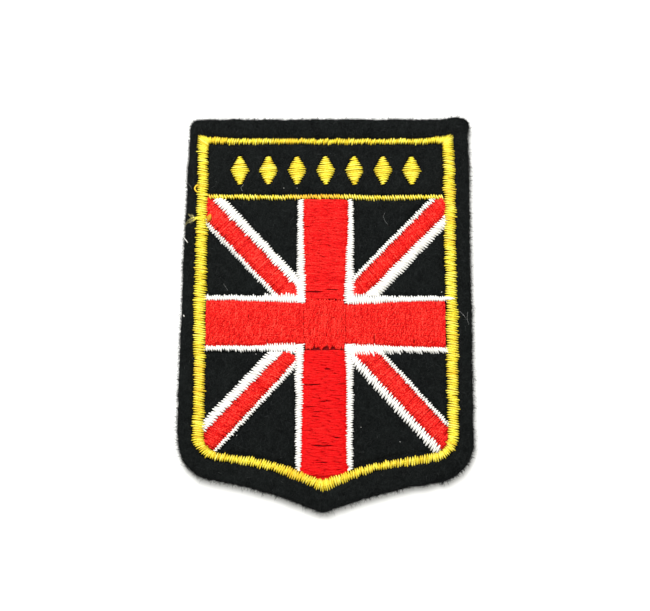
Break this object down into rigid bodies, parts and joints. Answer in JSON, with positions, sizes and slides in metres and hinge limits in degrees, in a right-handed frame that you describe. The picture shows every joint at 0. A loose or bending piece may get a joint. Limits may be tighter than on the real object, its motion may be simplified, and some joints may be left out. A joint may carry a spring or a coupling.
{
  "type": "embroidered patch",
  "caption": "Shield-shaped felt patch with a satin-stitched cross and diagonal bands inside a golden border, flat-backed to sew or iron on",
  "frame": {"origin": "middle of the flat back face, at the centre of the bounding box's bottom", "axes": "+Y up the patch towards its straight top, +Z out of the embroidered face, +X to the right seen from the front"},
  "size_m": [0.0604, 0.0832, 0.0022],
  "materials": {
    "felt": "matt needled felt",
    "gold_thread": "glossy rayon embroidery thread",
    "red_thread": "glossy rayon embroidery thread",
    "white_thread": "glossy rayon embroidery thread"
  },
  "bodies": {
    "root": {"felt_ground": "felt", "border": "gold_thread", "title_rule": "gold_thread", "motif_1": "gold_thread", "motif_2": "gold_thread", "motif_3": "gold_thread", "motif_4": "gold_thread", "motif_5": "gold_thread", "motif_6": "gold_thread", "motif_7": "gold_thread", "cross_bar": "red_thread", "cross_arm_top": "red_thread", "cross_arm_bottom": "red_thread", "edging_top_left": "white_thread", "edging_top_right": "white_thread", "edging_bottom_left": "white_thread", "edging_bottom_right": "white_thread", "saltire_red_top_left": "red_thread", "saltire_red_top_right": "red_thread", "saltire_red_bottom_left": "red_thread", "saltire_red_bottom_right": "red_thread", "saltire_wide_top_left": "white_thread", "saltire_wide_top_right": "white_thread", "saltire_wide_bottom_left": "white_thread", "saltire_wide_bottom_right": "white_thread", "saltire_narrow_top_left": "white_thread", "saltire_narrow_top_right": "white_thread", "saltire_narrow_bottom_left": "white_thread", "saltire_narrow_bottom_right": "white_thread"}
  },
  "joints": []
}
